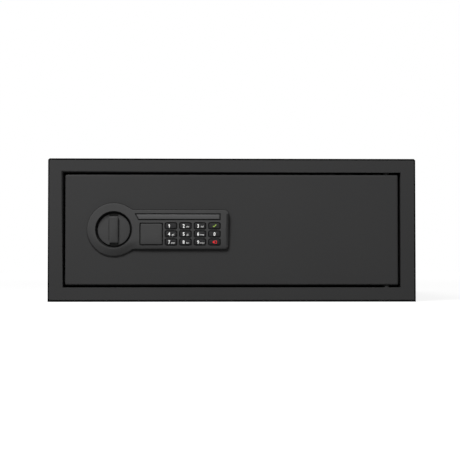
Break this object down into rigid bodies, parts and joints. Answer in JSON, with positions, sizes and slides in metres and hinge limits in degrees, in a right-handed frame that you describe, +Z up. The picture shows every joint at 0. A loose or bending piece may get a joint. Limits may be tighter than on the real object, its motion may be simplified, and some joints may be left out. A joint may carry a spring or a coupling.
{
  "type": "low wide electronic safe",
  "caption": "Low wide black steel safe with a side-hinged flush door, turn knob, keypad and hidden override lock.",
  "frame": {"origin": "bottom centre of the whole safe, on the surface it stands on", "axes": "+X to the right seen from the front, +Y to the back, +Z up"},
  "size_m": [0.457, 0.405, 0.178],
  "materials": {
    "case_steel": "matt black powder coat",
    "frame_paint": "matt black powder coat",
    "door_paint": "matt black powder coat",
    "lock_plastic": "satin black moulded plastic",
    "knob_plastic": "satin black moulded plastic",
    "strip_plastic": "satin grey plastic",
    "key_rubber": "matt black keys with white legends",
    "pad_rubber": "matt black rubber",
    "membrane_rubber": "grey silicone",
    "mat_fabric": "dark felt",
    "zinc_steel": "zinc plated",
    "bolt_chrome": "polished plating",
    "brass_parts": "turned brass",
    "cylinder_steel": "nickel plated",
    "spacer_nylon": "natural nylon",
    "coil_wire": "varnished copper winding",
    "board_green": "soldered circuit board",
    "cover_plastic": "black moulded plastic",
    "cell_wrap": "plain cell wrap",
    "wire_pvc": "insulated leads",
    "reset_red": "red button"
  },
  "bodies": {
    "case": {"body_wrap": "case_steel", "floor_plate": "case_steel", "back_panel": "case_steel", "face_frame": "frame_paint", "hinge_plates": "case_steel", "hinge_pins": "case_steel", "bolt_keeper": "case_steel", "stop_pads": "pad_rubber", "floor_mat": "mat_fabric"},
    "door": {"door_panel": "door_paint", "door_stiffener": "case_steel", "hinge_blocks": "case_steel", "lock_plate": "lock_plastic", "indicator_strip": "strip_plastic", "keypad_membrane": "membrane_rubber", "keypad_board": "board_green", "lock_bracket": "zinc_steel", "bracket_studs": "zinc_steel", "nuts": "zinc_steel", "knob_bush": "brass_parts", "bolt_bushes": "brass_parts", "guide_screws": "zinc_steel", "guide_spacers": "spacer_nylon", "solenoid_frame": "zinc_steel", "solenoid_coil": "coil_wire", "override_cylinder": "cylinder_steel", "override_nut": "zinc_steel", "control_board": "board_green", "board_screws": "zinc_steel", "inner_cover": "cover_plastic", "cover_screws": "zinc_steel", "battery_box": "cover_plastic", "battery_contacts": "bolt_chrome", "battery_cells": "cell_wrap", "reset_switch": "board_green", "lid_pin": "zinc_steel", "wiring": "wire_pvc"},
    "key_1": {"key_1": "key_rubber"},
    "key_2": {"key_2": "key_rubber"},
    "key_3": {"key_3": "key_rubber"},
    "key_confirm": {"key_confirm": "key_rubber"},
    "key_4": {"key_4": "key_rubber"},
    "key_5": {"key_5": "key_rubber"},
    "key_6": {"key_6": "key_rubber"},
    "key_0": {"key_0": "key_rubber"},
    "key_7": {"key_7": "key_rubber"},
    "key_8": {"key_8": "key_rubber"},
    "key_9": {"key_9": "key_rubber"},
    "key_clear": {"key_clear": "key_rubber"},
    "badge": {"badge_cover": "lock_plastic"},
    "knob": {"knob": "knob_plastic", "knob_shaft": "zinc_steel", "knob_cam": "zinc_steel"},
    "bolt_work": {"bolt_carriage": "zinc_steel", "bolts": "bolt_chrome"},
    "plunger": {"solenoid_plunger": "bolt_chrome", "plunger_spring": "bolt_chrome"},
    "override": {"override_plug": "brass_parts"},
    "battery_lid": {"battery_lid": "cover_plastic"},
    "reset_button": {"reset_button": "reset_red"}
  },
  "joints": [
    {"name": "door_hinge", "type": "hinge", "parent": "case", "child": "door", "pos_m": [0.193, -0.18955, 0.0894], "axis": [0, 0, 1], "range_deg": [0, 100]},
    {"name": "knob_turn", "type": "hinge", "parent": "door", "child": "knob", "pos_m": [-0.1469, -0.19555, 0.0894], "axis": [0, -1, 0], "range_deg": [0, 90]},
    {"name": "bolt_slide", "type": "slide", "parent": "door", "child": "bolt_work", "axis": [-1, 0, 0], "range_m": [0, 0.01414]},
    {"name": "key_1_press", "type": "slide", "parent": "door", "child": "key_1", "axis": [0, 1, 0], "range_m": [0, 0.0007], "stiffness_N_per_m": 500, "springref_m": -0.0005},
    {"name": "key_2_press", "type": "slide", "parent": "door", "child": "key_2", "axis": [0, 1, 0], "range_m": [0, 0.0007], "stiffness_N_per_m": 500, "springref_m": -0.0005},
    {"name": "key_3_press", "type": "slide", "parent": "door", "child": "key_3", "axis": [0, 1, 0], "range_m": [0, 0.0007], "stiffness_N_per_m": 500, "springref_m": -0.0005},
    {"name": "key_confirm_press", "type": "slide", "parent": "door", "child": "key_confirm", "axis": [0, 1, 0], "range_m": [0, 0.0007], "stiffness_N_per_m": 500, "springref_m": -0.0005},
    {"name": "key_4_press", "type": "slide", "parent": "door", "child": "key_4", "axis": [0, 1, 0], "range_m": [0, 0.0007], "stiffness_N_per_m": 500, "springref_m": -0.0005},
    {"name": "key_5_press", "type": "slide", "parent": "door", "child": "key_5", "axis": [0, 1, 0], "range_m": [0, 0.0007], "stiffness_N_per_m": 500, "springref_m": -0.0005},
    {"name": "key_6_press", "type": "slide", "parent": "door", "child": "key_6", "axis": [0, 1, 0], "range_m": [0, 0.0007], "stiffness_N_per_m": 500, "springref_m": -0.0005},
    {"name": "key_0_press", "type": "slide", "parent": "door", "child": "key_0", "axis": [0, 1, 0], "range_m": [0, 0.0007], "stiffness_N_per_m": 500, "springref_m": -0.0005},
    {"name": "key_7_press", "type": "slide", "parent": "door", "child": "key_7", "axis": [0, 1, 0], "range_m": [0, 0.0007], "stiffness_N_per_m": 500, "springref_m": -0.0005},
    {"name": "key_8_press", "type": "slide", "parent": "door", "child": "key_8", "axis": [0, 1, 0], "range_m": [0, 0.0007], "stiffness_N_per_m": 500, "springref_m": -0.0005},
    {"name": "key_9_press", "type": "slide", "parent": "door", "child": "key_9", "axis": [0, 1, 0], "range_m": [0, 0.0007], "stiffness_N_per_m": 500, "springref_m": -0.0005},
    {"name": "key_clear_press", "type": "slide", "parent": "door", "child": "key_clear", "axis": [0, 1, 0], "range_m": [0, 0.0007], "stiffness_N_per_m": 500, "springref_m": -0.0005},
    {"name": "badge_pull", "type": "slide", "parent": "door", "child": "badge", "axis": [0, -1, 0], "range_m": [0, 0.03]},
    {"name": "override_turn", "type": "hinge", "parent": "door", "child": "override", "pos_m": [-0.1005, -0.19555, 0.084], "axis": [0, 1, 0], "range_deg": [0, 90]},
    {"name": "plunger_lift", "type": "slide", "parent": "door", "child": "plunger", "axis": [0, 0, 1], "range_m": [0, 0.0025], "stiffness_N_per_m": 60, "springref_m": -0.003, "deforming": ["plunger_spring"]},
    {"name": "battery_lid_hinge", "type": "hinge", "parent": "door", "child": "battery_lid", "pos_m": [-0.04085, -0.15525, 0.1366], "axis": [1, 0, 0], "range_deg": [0, 110]},
    {"name": "reset_press", "type": "slide", "parent": "door", "child": "reset_button", "axis": [0, -1, 0], "range_m": [0, 0.0012], "stiffness_N_per_m": 400, "springref_m": -0.0005}
  ],
  "couplings": [
    {"joint": "knob_turn", "follows": "bolt_slide", "rad_per_m": 111.07},
    {"joint": "override_turn", "follows": "plunger_lift", "rad_per_m": 628.32}
  ]
}
